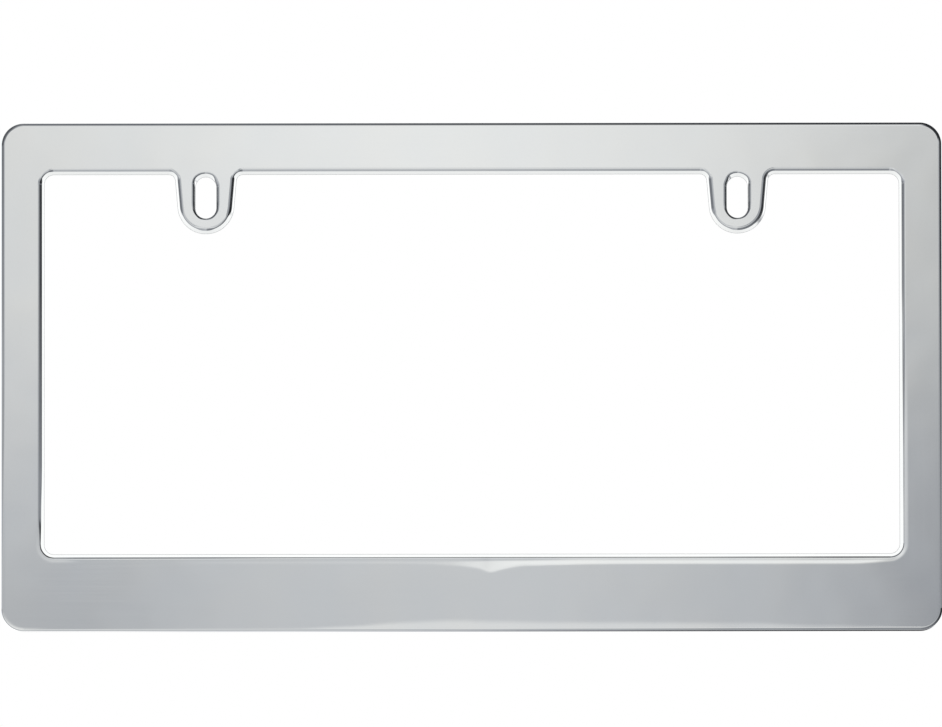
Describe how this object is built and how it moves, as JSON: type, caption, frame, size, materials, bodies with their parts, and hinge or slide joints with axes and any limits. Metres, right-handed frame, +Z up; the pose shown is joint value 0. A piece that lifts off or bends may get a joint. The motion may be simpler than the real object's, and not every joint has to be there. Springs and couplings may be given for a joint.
{
  "type": "number plate holder",
  "caption": "Chrome number plate holder: a flat one-piece frame with a wide bottom bar, a hollow back, and slotted lugs that hang from the top bar into the window for the plate's screws.",
  "frame": {"origin": "middle of the number plate, on the seat plane at the back of the lip and the lugs that bears on the plate's face; also the middle of the frame's bounding box", "axes": "+X to the right as seen from the front, +Y from the polished face to the back, +Z up as fitted to a car"},
  "size_m": [0.3148, 0.008, 0.1702],
  "materials": {
    "chrome": "polished"
  },
  "bodies": {
    "root": {"plate_frame": "chrome"}
  },
  "joints": []
}
